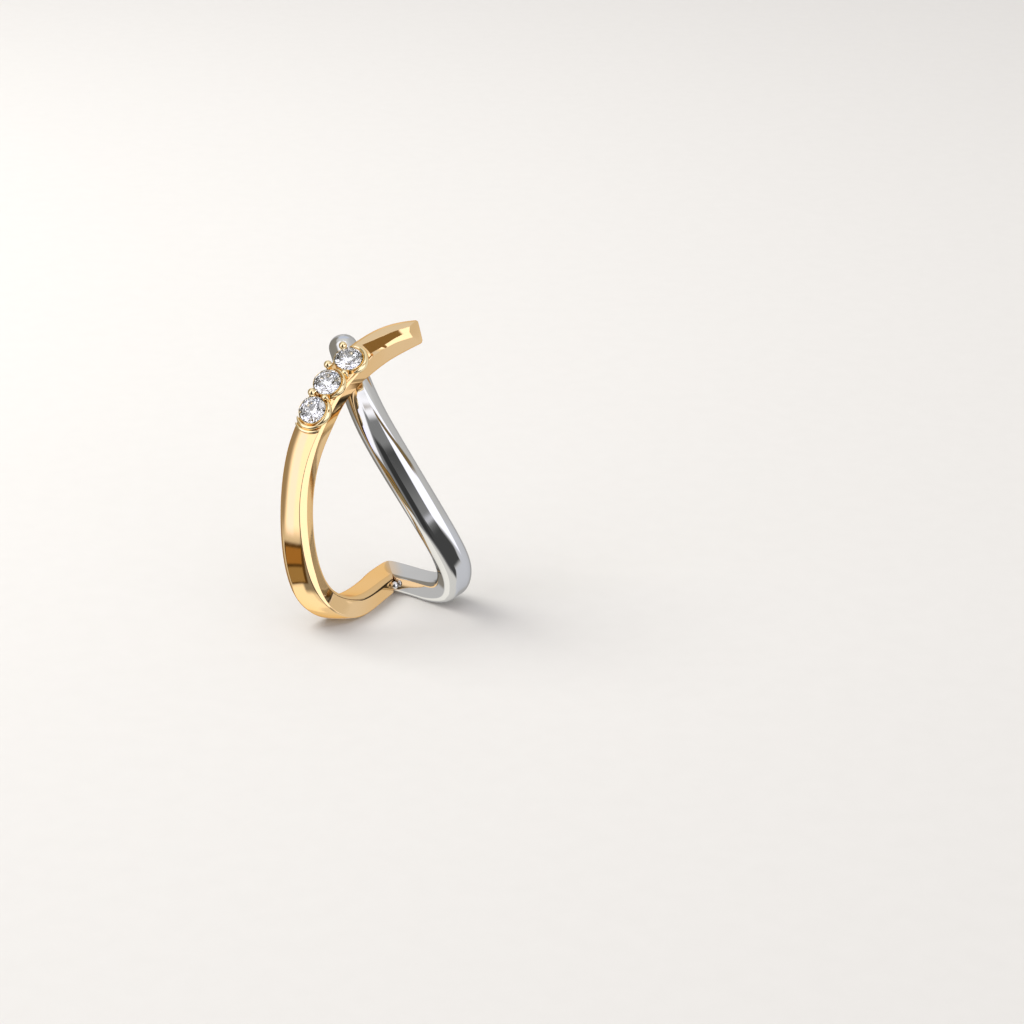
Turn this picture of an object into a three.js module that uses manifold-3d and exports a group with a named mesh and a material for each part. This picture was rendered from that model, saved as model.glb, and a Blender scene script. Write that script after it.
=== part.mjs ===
// Open hoop earring: a flat-faced yellow bar with three stones and a round white bar cross at the top
// and meet in a V at the bottom.
// Millimetres. +Z is up, +X is to the right and +Y is away from whoever faces the stones.
// It stands on the heel of the yellow bar, the toe of the white bar and the V-shaped joint behind them.
// The origin is on the ground, under the middle of the whole earring with its ear post.

import * as THREE from "three";
import { mergeVertices } from "three/addons/utils/BufferGeometryUtils.js";
import Module from "manifold-3d";

const wasm = await Module();
wasm.setup();

// ---- Driving dimensions ------------------------------------------------------------------------

const STONE_DIAMETER = 1.6;
const STONE_FACETS = 8;
const TABLE_RATIO = 0.56;
const CROWN_HEIGHT = 0.25;
const GIRDLE_HEIGHT = 0.06;
const PAVILION_DEPTH = 0.6;
const STONE_RISE = 0.95;          // bar centreline to the middle of the girdle
const STONE_PLACES = [4.03, 4.97, 5.87];   // counted in stations along the yellow bar

const CUP_TOP_RADIUS = 0.86;
const CUP_FOOT_RADIUS = 0.55;
const CUP_DEPTH = 0.9;
const CUP_SIDES = 16;
const SEAT_GAP = 0.03;            // clear space between a stone and the metal round it

const PRONG_PLACES = [3.65, 4.5, 5.42, 6.25];   // between the stones and beyond the end ones
const PRONG_RADIUS = 0.2;
const PRONG_BALL_RADIUS = 0.25;
const PRONG_BALL_HEIGHT = 0.14;    // above the middle of the girdle
const CLAW_TOP_RADIUS = 0.16;
const CLAW_HEIGHT = 0.1;
const PRONG_OUT = 0.58;           // row of prongs to the line of the stones
const PRONG_SIDES = 10;

const JOINT_GAP = 0.03;           // between the yellow and the white metal
const CROSSING_GAP = 0.03;
const CROSSING_STATIONS = 8;      // stretch of the yellow bar that the white bar is relieved for
const JOINT_REACH = 3.2;          // size of the flat cut that trims a bar at the joint

const TIP_BEVEL = 0.12;
const TIP_CHAMFER = { point: [1.84, 2.29, 15.96], normal: [0.8, -0.56, 0.24], reach: 3 };
const WHITE_END_RADIUS = 0.76;

const POST_DIAMETER = 0.8;
const POST_LENGTH = 8.5;
const POST_SIDES = 16;
const POST_PLACE = 1.2;           // counted in stations along the white bar
const POST_DIRECTION = [-0.055, 0.943, -0.328];

const GROUND_CENTRE = { x: 0, y: 2.2 };   // where the tables below have the origin

const SECTIONS_PER_STATION = 3;
const CORNER_POINTS = 4;

// ---- Stations of the two bars ------------------------------------------------------------------
// x, y, z          centre of the section
// bearing, tilt    where the outer face looks: degrees from the front towards the left, and upwards
// width, thick     across the outer face, and from the outer face to the inner one
// outer, inner     radius of the corners beside the outer face and beside the inner one

const COLUMNS = ["x", "y", "z", "bearing", "tilt", "width", "thick", "outer", "inner"];

const YELLOW_STATIONS = stations([
  [2.28, 3.16, 15.66, -8, 70, 1.00, 1.30, 0.30, 0.30],      // free tip
  [1.38, 2.78, 15.50, -8, 70, 1.25, 1.58, 0.38, 0.35],
  [0.30, 2.08, 15.24, -6, 70, 1.48, 1.68, 0.38, 0.35],
  [-0.70, 1.18, 14.82, 0, 66, 1.70, 1.55, 0.34, 0.30],      // root of the arm
  [-1.45, 0.40, 14.40, 9, 56, 1.88, 1.32, 0.25, 0.25],      // first stone
  [-2.55, -0.85, 13.45, 19, 45, 1.88, 1.15, 0.20, 0.25],    // second stone
  [-3.32, -1.85, 12.10, 25, 37, 1.90, 1.15, 0.20, 0.25],    // third stone
  [-3.96, -2.60, 10.72, 31, 25, 1.88, 1.15, 0.20, 0.25],
  [-4.34, -3.20, 9.12, 34, 15, 1.80, 1.15, 0.20, 0.25],
  [-4.50, -3.67, 7.45, 34, 8, 1.76, 1.15, 0.20, 0.25],      // middle of the front
  [-4.48, -3.96, 5.65, 30, 3, 1.80, 1.15, 0.20, 0.25],
  [-4.26, -3.98, 3.80, 25, -4, 1.88, 1.18, 0.20, 0.25],
  [-3.75, -3.70, 2.10, 20, -18, 1.92, 1.25, 0.22, 0.25],    // heel
  [-2.80, -3.12, 1.02, 18, -44, 1.85, 1.28, 0.25, 0.22],
  [-1.75, -2.20, 0.64, 20, -72, 1.75, 1.25, 0.25, 0.20],
  [-0.98, -0.90, 0.60, 22, -88, 1.65, 1.20, 0.25, 0.18],    // floor leg
  [-0.42, 0.42, 0.58, 23, -90, 1.65, 1.18, 0.25, 0.16],
  [0.02, 1.55, 0.56, 24, -90, 1.80, 1.12, 0.25, 0.16],
]);

const WHITE_STATIONS = stations([
  [-1.98, 2.60, 14.92, -10, 60, 1.54, 1.50, 0.72, 0.72],    // end behind the crossing
  [-1.48, 1.42, 13.95, -10, 48, 1.65, 1.50, 0.72, 0.72],
  [-0.98, 0.22, 12.98, -10, 36, 1.80, 1.50, 0.72, 0.70],    // crossing
  [-0.32, -0.88, 11.85, -10, 26, 1.90, 1.52, 0.72, 0.68],
  [0.47, -1.67, 10.62, -10, 18, 1.95, 1.56, 0.72, 0.65],
  [1.35, -2.10, 9.18, -10, 10, 1.95, 1.62, 0.72, 0.62],
  [2.22, -2.28, 7.70, -11, 3, 1.92, 1.68, 0.72, 0.62],      // middle of the front
  [3.10, -2.18, 6.05, -15, -4, 1.92, 1.74, 0.72, 0.62],
  [4.05, -1.68, 4.00, -26, -12, 1.90, 1.70, 0.70, 0.60],
  [4.53, -1.18, 2.45, -45, -25, 1.90, 1.60, 0.65, 0.50],    // toe
  [4.30, -0.50, 1.10, -60, -52, 1.95, 1.55, 0.55, 0.35],
  [3.35, 0.30, 0.66, -60, -78, 1.85, 1.35, 0.40, 0.22],
  [2.40, 1.05, 0.60, -60, -90, 1.72, 1.20, 0.30, 0.16],     // floor leg
  [1.50, 1.80, 0.56, -60, -90, 1.82, 1.12, 0.25, 0.16],
]);

// Where the two floor legs meet, both bars end in this one upright section.
// Swing turns its plane from straight back towards the left, in degrees.
const JOINT = { x: 0.5, y: 2.7, z: 0.52, swing: 9, width: 2.7, thick: 1.04, outer: 0.25, inner: 0.2 };

const FINISH = {
  yellow: { color: 0xd9a452, metalness: 1, roughness: 0.12 },
  white: { color: 0xc4c6c9, metalness: 1, roughness: 0.1 },
  stone: { color: 0xf4f6f8, metalness: 0, roughness: 0.02 },
};

// ---- Tables and frames -------------------------------------------------------------------------

function stations(rows) {
  return rows.map((row) => Object.fromEntries(COLUMNS.map((name, i) => [name, row[i]])));
}

function outwardOf(station) {
  const bearing = THREE.MathUtils.degToRad(station.bearing);
  const tilt = THREE.MathUtils.degToRad(station.tilt);
  return new THREE.Vector3(
    -Math.sin(bearing) * Math.cos(tilt),
    -Math.cos(bearing) * Math.cos(tilt),
    Math.sin(tilt),
  );
}

function centreOf(station) {
  return new THREE.Vector3(station.x, station.y, station.z);
}

// Half the size of a section as two vectors, across the outer face and out through it.
function frameOf(centre, along, out, size) {
  const outUnit = out.clone().addScaledVector(along, -out.dot(along)).normalize();
  const sideUnit = new THREE.Vector3().crossVectors(outUnit, along);
  return {
    centre,
    side: sideUnit.multiplyScalar(size.width / 2),
    out: outUnit.multiplyScalar(size.thick / 2),
    outer: size.outer,
    inner: size.inner,
  };
}

// The shared section of the joint, set off by half the gap along the way the bar arrives.
function jointFrame(arriving) {
  const swing = THREE.MathUtils.degToRad(JOINT.swing);
  const along = new THREE.Vector3(Math.cos(swing), Math.sin(swing), 0);
  along.multiplyScalar(Math.sign(along.dot(arriving)));
  const centre = new THREE.Vector3(JOINT.x, JOINT.y, JOINT.z).addScaledVector(along, -JOINT_GAP / 2);
  return frameOf(centre, along, new THREE.Vector3(0, 0, -1), JOINT);
}

// One frame per station and one for the joint. Grow makes the bar bigger all round.
function framesOf(table, grow = 0) {
  const joint = new THREE.Vector3(JOINT.x, JOINT.y, JOINT.z);
  const centres = [...table.map(centreOf), joint];
  const frames = table.map((station, i) => {
    const along = centres[i + 1].clone().sub(centres[Math.max(i - 1, 0)]).normalize();
    const size = { ...station, width: station.width + 2 * grow, thick: station.thick + 2 * grow };
    return frameOf(centres[i], along, outwardOf(station), size);
  });
  frames.push(jointFrame(joint.clone().sub(centres[centres.length - 2])));
  return frames;
}

function spline(a, b, c, d, t) {
  const slopeB = (c - a) / 2;
  const slopeC = (d - b) / 2;
  return b + t * (slopeB + t * (3 * (c - b) - 2 * slopeB - slopeC + t * (2 * (b - c) + slopeB + slopeC)));
}

function splineVector(frames, name, t) {
  const [a, b, c, d] = frames.map((frame) => frame[name]);
  return new THREE.Vector3(
    spline(a.x, b.x, c.x, d.x, t),
    spline(a.y, b.y, c.y, d.y, t),
    spline(a.z, b.z, c.z, d.z, t),
  );
}

// The frame at a place counted in stations, on one smooth curve through all of them.
function frameAt(frames, place) {
  const first = Math.min(Math.floor(place), frames.length - 2);
  const t = place - first;
  const four = [-1, 0, 1, 2].map((k) => frames[THREE.MathUtils.clamp(first + k, 0, frames.length - 1)]);
  return {
    centre: splineVector(four, "centre", t),
    side: splineVector(four, "side", t),
    out: splineVector(four, "out", t),
    outer: THREE.MathUtils.lerp(four[1].outer, four[2].outer, t),
    inner: THREE.MathUtils.lerp(four[1].inner, four[2].inner, t),
  };
}

function refine(frames) {
  const count = (frames.length - 1) * SECTIONS_PER_STATION;
  return Array.from({ length: count + 1 }, (_, k) => frameAt(frames, k / SECTIONS_PER_STATION));
}

// A frame moved towards the free end of the bar and made smaller.
function beyondEnd(frames, reach, scale) {
  const end = frames[0];
  const along = new THREE.Vector3().crossVectors(end.side, end.out).normalize();
  along.multiplyScalar(Math.sign(along.dot(end.centre.clone().sub(frames[1].centre))));
  return {
    centre: end.centre.clone().addScaledVector(along, reach),
    side: end.side.clone().multiplyScalar(scale),
    out: end.out.clone().multiplyScalar(scale),
    outer: end.outer * scale,
    inner: end.inner * scale,
  };
}

// ---- Sections and lofts ------------------------------------------------------------------------

// A rectangle with rounded corners, laid out on a frame's side and out vectors.
function sectionOf(frame) {
  const halfWidth = frame.side.length();
  const halfThick = frame.out.length();
  const points = [];
  for (let corner = 0; corner < 4; corner += 1) {
    const radius = Math.min(corner < 2 ? frame.outer : frame.inner, 0.98 * halfThick, 0.98 * halfWidth);
    const signU = corner === 0 || corner === 3 ? 1 : -1;
    const signV = corner < 2 ? 1 : -1;
    for (let k = 0; k < CORNER_POINTS; k += 1) {
      const angle = (corner + k / (CORNER_POINTS - 1)) * Math.PI / 2;
      const u = (signU * (halfWidth - radius) + radius * Math.cos(angle)) / halfWidth;
      const v = (signV * (halfThick - radius) + radius * Math.sin(angle)) / halfThick;
      points.push(frame.centre.clone().addScaledVector(frame.side, u).addScaledVector(frame.out, v));
    }
  }
  return points;
}

// A closed skin through rings that all have the same number of points.
function loft(rings) {
  const count = rings[0].length;
  const positions = rings.flat().flatMap((point) => [point.x, point.y, point.z]);
  const triangles = [];
  for (let ring = 0; ring + 1 < rings.length; ring += 1) {
    for (let k = 0; k < count; k += 1) {
      const a = ring * count + k;
      const b = ring * count + (k + 1) % count;
      triangles.push(a, b, b + count, a, b + count, a + count);
    }
  }
  const lastRing = (rings.length - 1) * count;
  for (let k = 1; k + 1 < count; k += 1) {
    triangles.push(0, k + 1, k);
    triangles.push(lastRing, lastRing + k, lastRing + k + 1);
  }
  const geometry = new THREE.BufferGeometry();
  geometry.setAttribute("position", new THREE.Float32BufferAttribute(positions, 3));
  geometry.setIndex(triangles);
  return facingOut(geometry);
}

function signedVolume(geometry) {
  const position = geometry.attributes.position;
  const index = geometry.index.array;
  const corner = [new THREE.Vector3(), new THREE.Vector3(), new THREE.Vector3()];
  let sum = 0;
  for (let i = 0; i < index.length; i += 3) {
    corner.forEach((point, k) => point.fromBufferAttribute(position, index[i + k]));
    sum += corner[0].dot(corner[1].clone().cross(corner[2]));
  }
  return sum / 6;
}

function facingOut(geometry) {
  if (signedVolume(geometry) < 0) {
    geometry.index.array.reverse();
  }
  return geometry;
}

function latheBody(profile, sides) {
  const geometry = new THREE.LatheGeometry(profile.map(([r, z]) => new THREE.Vector2(r, z)), sides);
  geometry.rotateX(Math.PI / 2);
  return welded(geometry);
}

function welded(geometry) {
  geometry.deleteAttribute("normal");
  geometry.deleteAttribute("uv");
  return facingOut(mergeVertices(geometry, 1e-5));
}

// ---- Joins and cuts ----------------------------------------------------------------------------

function solidOf(geometry) {
  return new wasm.Manifold(new wasm.Mesh({
    numProp: 3,
    vertProperties: new Float32Array(geometry.attributes.position.array),
    triVerts: new Uint32Array(geometry.index.array),
  }));
}

function geometryOf(solid) {
  const mesh = solid.getMesh();
  const geometry = new THREE.BufferGeometry();
  geometry.setAttribute("position", new THREE.BufferAttribute(new Float32Array(mesh.vertProperties), 3));
  geometry.setIndex(new THREE.BufferAttribute(new Uint32Array(mesh.triVerts), 1));
  geometry.computeVertexNormals();
  return geometry;
}

// ---- Stones and their setting ------------------------------------------------------------------

// A place on the line of the stones: X along the bar, Y towards the far side, Z out of the bar.
function seatMatrix(frames, place, sideways) {
  const frame = frameAt(frames, place);
  const out = frame.out.clone().normalize();
  const across = frame.side.clone().addScaledVector(out, -frame.side.dot(out)).normalize();
  across.multiplyScalar(Math.sign(-across.x));
  const along = new THREE.Vector3().crossVectors(across, out);
  const origin = frame.centre.clone().addScaledVector(out, STONE_RISE).addScaledVector(across, sideways);
  return new THREE.Matrix4().makeBasis(along, across, out).setPosition(origin);
}

function ringAt(radius, height, count, turn) {
  return Array.from({ length: count }, (_, k) => {
    const angle = (k + turn) * 2 * Math.PI / count;
    return new THREE.Vector3(radius * Math.cos(angle), radius * Math.sin(angle), height);
  });
}

// Round brilliant: table, crown, girdle and a pavilion that ends in a small culet.
function stoneGeometry(grow = 0) {
  const radius = STONE_DIAMETER / 2 + grow;
  const sides = 2 * STONE_FACETS;
  const culet = 0.03 + grow;
  const tableRadius = radius * TABLE_RATIO;
  const half = GIRDLE_HEIGHT / 2;
  const tableCorners = ringAt(tableRadius, half + CROWN_HEIGHT + grow, STONE_FACETS, 0);
  const table = tableCorners.flatMap((point, k) => {
    const next = tableCorners[(k + 1) % STONE_FACETS];
    return [point, point.clone().add(next).multiplyScalar(0.5)];
  });
  return loft([
    ringAt(culet, -half - PAVILION_DEPTH - grow, sides, 0),
    ringAt(radius, -half, sides, 0),
    ringAt(radius, half, sides, 0),
    table,
  ]);
}

function cupGeometry() {
  const top = GIRDLE_HEIGHT / 2;
  return latheBody([
    [0, top - CUP_DEPTH],
    [CUP_FOOT_RADIUS, top - CUP_DEPTH],
    [CUP_TOP_RADIUS, top],
    [0, top],
  ], CUP_SIDES);
}

function prongGeometry() {
  const profile = [[0, -CUP_DEPTH], [PRONG_RADIUS, -CUP_DEPTH], [PRONG_RADIUS * 0.8, 0]];
  for (let k = 0; k < 4; k += 1) {
    const angle = THREE.MathUtils.degToRad(-30 + 30 * k);
    profile.push([
      PRONG_BALL_RADIUS * Math.cos(angle),
      PRONG_BALL_HEIGHT + PRONG_BALL_RADIUS * Math.sin(angle),
    ]);
  }
  profile.push([0, PRONG_BALL_HEIGHT + PRONG_BALL_RADIUS]);
  return latheBody(profile, PRONG_SIDES);
}

function clawGeometry() {
  return latheBody([
    [0, -CUP_DEPTH],
    [PRONG_RADIUS * 1.3, -CUP_DEPTH],
    [CLAW_TOP_RADIUS, CLAW_HEIGHT],
    [0, CLAW_HEIGHT + CLAW_TOP_RADIUS / 2],
  ], PRONG_SIDES);
}

function placed(geometry, matrix) {
  return geometry.clone().applyMatrix4(matrix);
}

// ---- The pieces --------------------------------------------------------------------------------

const yellowFrames = framesOf(YELLOW_STATIONS);
const whiteFrames = framesOf(WHITE_STATIONS);
const stoneSeats = STONE_PLACES.map((place) => seatMatrix(yellowFrames, place, 0));

function yellowBar(frames) {
  const tip = beyondEnd(frames, TIP_BEVEL, 0.85);
  return solidOf(loft([tip, ...refine(frames)].map(sectionOf)));
}

function whiteBar(frames) {
  const dome = [80, 60, 40, 20].map((degrees) => {
    const angle = THREE.MathUtils.degToRad(degrees);
    return beyondEnd(frames, WHITE_END_RADIUS * Math.sin(angle), Math.cos(angle));
  });
  return solidOf(loft([...dome, ...refine(frames)].map(sectionOf)));
}

// A flat cut that takes away what lies beyond a plane, as far as the cutter reaches.
function cutterOf({ point, normal, reach }) {
  const out = new THREE.Vector3(...normal).normalize();
  const turn = new THREE.Quaternion().setFromUnitVectors(new THREE.Vector3(0, 0, 1), out);
  const centre = new THREE.Vector3(...point).addScaledVector(out, 0.5);
  const pose = new THREE.Matrix4().compose(centre, turn, new THREE.Vector3(1, 1, 1));
  return solidOf(placed(welded(new THREE.BoxGeometry(reach, reach, 1)), pose));
}

// What a bar would push past the flat face in which it ends.
function pastJoint(frames) {
  const { centre, side, out } = frames[frames.length - 1];
  const arriving = centre.clone().sub(frames[frames.length - 2].centre);
  const normal = new THREE.Vector3().crossVectors(side, out);
  normal.multiplyScalar(Math.sign(normal.dot(arriving)));
  return cutterOf({ point: centre.toArray(), normal: normal.toArray(), reach: JOINT_REACH });
}

// What rests on the ground is polished flat there.
function standing(body) {
  return body.trimByPlane([0, 0, 1], 0);
}

function yellowBand() {
  let body = yellowBar(yellowFrames).subtract(cutterOf(TIP_CHAMFER));
  for (const seat of stoneSeats) {
    body = body.add(solidOf(placed(cupGeometry(), seat)));
  }
  for (const place of PRONG_PLACES) {
    body = body.add(solidOf(placed(prongGeometry(), seatMatrix(yellowFrames, place, PRONG_OUT))));
    body = body.add(solidOf(placed(clawGeometry(), seatMatrix(yellowFrames, place, -PRONG_OUT))));
  }
  for (const seat of stoneSeats) {
    body = body.subtract(solidOf(placed(stoneGeometry(SEAT_GAP), seat)));
  }
  return standing(body.subtract(pastJoint(yellowFrames)));
}

function whiteBand() {
  const relief = yellowBar(framesOf(YELLOW_STATIONS, CROSSING_GAP).slice(0, CROSSING_STATIONS));
  return standing(whiteBar(whiteFrames).subtract(relief).subtract(pastJoint(whiteFrames)));
}

function earPost() {
  const start = frameAt(whiteFrames, POST_PLACE).centre;
  const direction = new THREE.Vector3(...POST_DIRECTION).normalize();
  const radius = POST_DIAMETER / 2;
  const wire = latheBody([
    [0, 0],
    [radius, 0],
    [radius, POST_LENGTH - radius / 2],
    [radius / 2, POST_LENGTH],
    [0, POST_LENGTH],
  ], POST_SIDES);
  const turn = new THREE.Quaternion().setFromUnitVectors(new THREE.Vector3(0, 0, 1), direction);
  const pose = new THREE.Matrix4().compose(start, turn, new THREE.Vector3(1, 1, 1));
  const relief = whiteBar(framesOf(WHITE_STATIONS, JOINT_GAP));
  return solidOf(placed(wire, pose)).subtract(relief);
}

function part(name, geometry, finish) {
  const mesh = new THREE.Mesh(geometry, new THREE.MeshStandardMaterial(finish));
  mesh.name = name;
  return mesh;
}

const earring = new THREE.Group();
earring.position.set(-GROUND_CENTRE.x, -GROUND_CENTRE.y, 0);
earring.add(part("yellow_band", geometryOf(yellowBand()), FINISH.yellow));
earring.add(part("white_band", geometryOf(whiteBand()), FINISH.white));
earring.add(part("ear_post", geometryOf(earPost()), FINISH.white));
stoneSeats.forEach((seat, i) => {
  earring.add(part(`stone_${i + 1}`, placed(stoneGeometry(), seat), FINISH.stone));
});

export default earring;
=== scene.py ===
"""Looks of an open hoop earring of two bars.

One bar is flat-faced yellow gold with three stones, and the other is round white gold. They cross at
the top and are soldered in a V at the back, on the ground. Sizes in the tables are millimetres, and
SETTING_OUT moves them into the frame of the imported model, whose unit is the metre.
"""

import logging
import math
from dataclasses import astuple, dataclass, field
from enum import Enum
from typing import Iterable, List, Optional, Sequence, Tuple, Union

import bmesh
import bpy
from mathutils import Matrix, Vector


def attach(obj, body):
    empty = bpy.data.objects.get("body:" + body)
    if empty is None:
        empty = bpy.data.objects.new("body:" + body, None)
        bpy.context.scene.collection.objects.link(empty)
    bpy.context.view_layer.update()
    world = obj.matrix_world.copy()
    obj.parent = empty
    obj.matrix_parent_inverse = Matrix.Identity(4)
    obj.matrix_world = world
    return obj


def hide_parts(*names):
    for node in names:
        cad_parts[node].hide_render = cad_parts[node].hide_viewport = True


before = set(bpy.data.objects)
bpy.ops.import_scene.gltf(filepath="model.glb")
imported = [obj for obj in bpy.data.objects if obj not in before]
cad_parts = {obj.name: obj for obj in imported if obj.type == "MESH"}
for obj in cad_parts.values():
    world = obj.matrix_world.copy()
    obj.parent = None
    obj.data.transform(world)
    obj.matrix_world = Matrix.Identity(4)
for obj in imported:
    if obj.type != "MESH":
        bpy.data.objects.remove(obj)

LOG = logging.getLogger("hoop_earring")
MM = 0.001
SETTING_OUT = Vector((0.0, -2.2, 0.0))
ROUND_SIDES = 48
BEAD_SIDES = 24
CORNER_SHARE = 0.49
WALL_SHARES = (0.03, 0.25, 0.5, 0.75, 0.97)
UP = Vector((0.0, 0.0, 1.0))

Triple = Tuple[float, float, float]
Profile = Sequence[Tuple[float, float]]
Ring = List[Vector]
Shell = Tuple[List[Vector], List[Tuple[int, ...]]]
Feed = Union[bpy.types.NodeSocket, float, Sequence[float]]


class Slot(Enum):
    """The record's material slots."""

    YELLOW_GOLD = "yellow_gold"
    WHITE_GOLD = "white_gold"
    STONE = "stone"


class Edge(Enum):
    """How the edges of a mesh catch the light."""

    ROUND = math.radians(50.0)
    FACETED = 0.0


# ---- Finishes ----------------------------------------------------------------------------------


@dataclass(frozen=True)
class NodeBench:
    """Short ways to add nodes to a tree.

    Attributes:
        tree: The node tree.
    """

    tree: bpy.types.NodeTree

    def add(self, kind: str, **options: str) -> bpy.types.Node:
        """Add a node and set its options.

        Args:
            kind: Its type, without the common first part of the name.
            options: Its options, by name.

        Returns:
            The node.
        """
        node = self.tree.nodes.new(f"ShaderNode{kind}")
        for name, value in options.items():
            setattr(node, name, value)
        return node

    def feed(self, socket: bpy.types.NodeSocket, value: Feed) -> None:
        """Link a socket to an input, or set the input to a value.

        Args:
            socket: The input.
            value: The socket or value that it gets.
        """
        if isinstance(value, bpy.types.NodeSocket):
            self.tree.links.new(value, socket)
        else:
            socket.default_value = value

    def reckon(self, how: str, first: Feed, second: Feed) -> bpy.types.NodeSocket:
        """Add a math node.

        Args:
            how: Its operation.
            first: Its first input.
            second: Its second input.

        Returns:
            Its output.
        """
        node = self.add("Math", operation=how)
        self.feed(node.inputs[0], first)
        self.feed(node.inputs[1], second)
        return node.outputs["Value"]

    def measure(self, how: str, place: bpy.types.NodeSocket, other: Vector) -> bpy.types.NodeSocket:
        """Add a vector node that gives one number.

        Args:
            how: Its operation.
            place: The vector that is measured.
            other: The fixed vector that it is measured against.

        Returns:
            Its output.
        """
        node = self.add("VectorMath", operation=how)
        self.feed(node.inputs[0], place)
        self.feed(node.inputs[1], other)
        return node.outputs["Value"]

    def noise(self, scale: float, detail: float) -> bpy.types.NodeSocket:
        """Add a noise that is fixed to the object.

        Args:
            scale: Its scale.
            detail: Its number of octaves.

        Returns:
            Its value.
        """
        node = self.add("TexNoise")
        self.feed(node.inputs["Vector"], self.add("TexCoord").outputs["Object"])
        self.feed(node.inputs["Scale"], scale)
        self.feed(node.inputs["Detail"], detail)
        return node.outputs["Fac"]

    def mix(self, share: bpy.types.NodeSocket, first: Feed, second: Feed,
            label: str = "") -> bpy.types.NodeSocket:
        """Add a mix of two colours.

        Args:
            share: Share of the second colour.
            first: The first colour.
            second: The second colour.
            label: What the node is for.

        Returns:
            The mixed colour.
        """
        node = self.add("Mix", data_type="RGBA", label=label)
        self.feed(node.inputs["Factor"], share)
        for name, colour in (("A", first), ("B", second)):
            socket = isinstance(colour, bpy.types.NodeSocket)
            self.feed(node.inputs[name], colour if socket else (*colour, 1.0))
        return node.outputs["Result"]

    def span(self, value: bpy.types.NodeSocket, given: Tuple[float, float],
             wanted: Tuple[float, float], how: str = "LINEAR") -> bpy.types.NodeSocket:
        """Add a node that maps one span of values to another.

        Args:
            value: The value.
            given: Both ends of its span.
            wanted: What they become.
            how: The way between them.

        Returns:
            The mapped value.
        """
        node = self.add("MapRange", interpolation_type=how)
        self.feed(node.inputs["Value"], value)
        for name, number in zip(("From Min", "From Max", "To Min", "To Max"), (*given, *wanted)):
            self.feed(node.inputs[name], number)
        return node.outputs["Result"]


def started(name: str) -> Tuple[bpy.types.Material, NodeBench, bpy.types.Node]:
    """Start a node material.

    Args:
        name: Its name.

    Returns:
        The material, a bench for its nodes and its shader.
    """
    made = bpy.data.materials.new(name)
    made.use_nodes = True
    return made, NodeBench(made.node_tree), made.node_tree.nodes["Principled BSDF"]


@dataclass(frozen=True)
class Creep:
    """The other metal's colour, which alloys into a bar along the joint.

    Attributes:
        colour: The other metal's colour.
        side: 1 if the bar lies to the right of the joint, -1 if to the left.
        reach: How far the colour reaches from the joint, in metres.
        share: Its share at the joint.
        far: Distance from the joint's middle where it has gone, in metres.
        near: Distance up to which it is whole, in metres.
    """

    colour: Triple
    side: float
    reach: float
    share: float = 0.5
    far: float = 0.0022
    near: float = 0.0014

    def mask(self, bench: NodeBench) -> bpy.types.NodeSocket:
        """Add a mask that fades out from the joint into the bar.

        Args:
            bench: Bench of the material.

        Returns:
            The mask.
        """
        joint = Joint()
        along = joint.along * self.side
        centre = (joint.centre + SETTING_OUT) * MM
        start = centre.dot(along)
        place = bench.add("TexCoord").outputs["Object"]
        inward = bench.measure("DOT_PRODUCT", place, along)
        fade = bench.span(inward, (start, start + self.reach), (self.share, 0.0), "SMOOTHSTEP")
        away = bench.measure("DISTANCE", place, centre)
        return bench.reckon("MULTIPLY", fade, bench.span(away, (self.far, self.near), (0.0, 1.0)))


@dataclass(frozen=True)
class PolishedMetal:
    """A mirror-polished precious metal with the faint waviness that hand polishing leaves.

    Attributes:
        name: Name of the material.
        colour: Reflection colour, linear.
        flush: Reflection colour of the slightly richer cloudy patches.
        edge: Colour of a grazing reflection.
        roughness: Lowest and highest roughness.
        wave: Depth of the polishing waves, in metres.
        creep: The other metal's colour along the joint, if any.
        cloud: Scale and detail of the cloudy patches and waves.
        grain: Scale and detail of the finer grain in the roughness.
    """

    name: str
    colour: Triple
    flush: Triple
    edge: Triple
    roughness: Tuple[float, float]
    wave: float
    creep: Optional[Creep] = None
    cloud: Tuple[float, float] = (420.0, 3.0)
    grain: Tuple[float, float] = (2600.0, 5.0)

    def material(self) -> bpy.types.Material:
        """Build the node material.

        Returns:
            The material, ready to be assigned.
        """
        made, bench, shader = started(self.name)
        shader.inputs["Metallic"].default_value = 1.0
        shader.inputs["Specular Tint"].default_value = (*self.edge, 1.0)
        cloud = bench.noise(*self.cloud)
        tone = bench.mix(cloud, self.colour, self.flush)
        if self.creep:
            tone = bench.mix(self.creep.mask(bench), tone, self.creep.colour)
        bench.feed(shader.inputs["Base Color"], tone)
        rough = bench.span(bench.noise(*self.grain), (0.3, 0.7), self.roughness)
        bench.feed(shader.inputs["Roughness"], rough)
        bump = bench.add("Bump")
        bump.inputs["Strength"].default_value = 0.5
        bump.inputs["Distance"].default_value = self.wave
        bench.feed(bump.inputs["Height"], cloud)
        bench.feed(shader.inputs["Normal"], bump.outputs["Normal"])
        return made


@dataclass(frozen=True)
class CutStone:
    """A clear, colourless cut stone.

    Attributes:
        name: Name of the material.
        tint: Body colour, linear.
        veil: Body colour where the faint growth lines run.
        ior: Index of refraction.
        roughness: Roughness of the polished facets.
        growth: Scale and detail of the growth lines.
    """

    name: str
    tint: Triple
    veil: Triple
    ior: float
    roughness: float
    growth: Tuple[float, float] = (900.0, 2.0)

    def material(self) -> bpy.types.Material:
        """Build the node material.

        Returns:
            The material, ready to be assigned.
        """
        made, bench, shader = started(self.name)
        shader.inputs["Roughness"].default_value = self.roughness
        shader.inputs["IOR"].default_value = self.ior
        shader.inputs["Transmission Weight"].default_value = 1.0
        tone = bench.mix(bench.noise(*self.growth), self.tint, self.veil)
        bench.feed(shader.inputs["Base Color"], tone)
        return made


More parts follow.
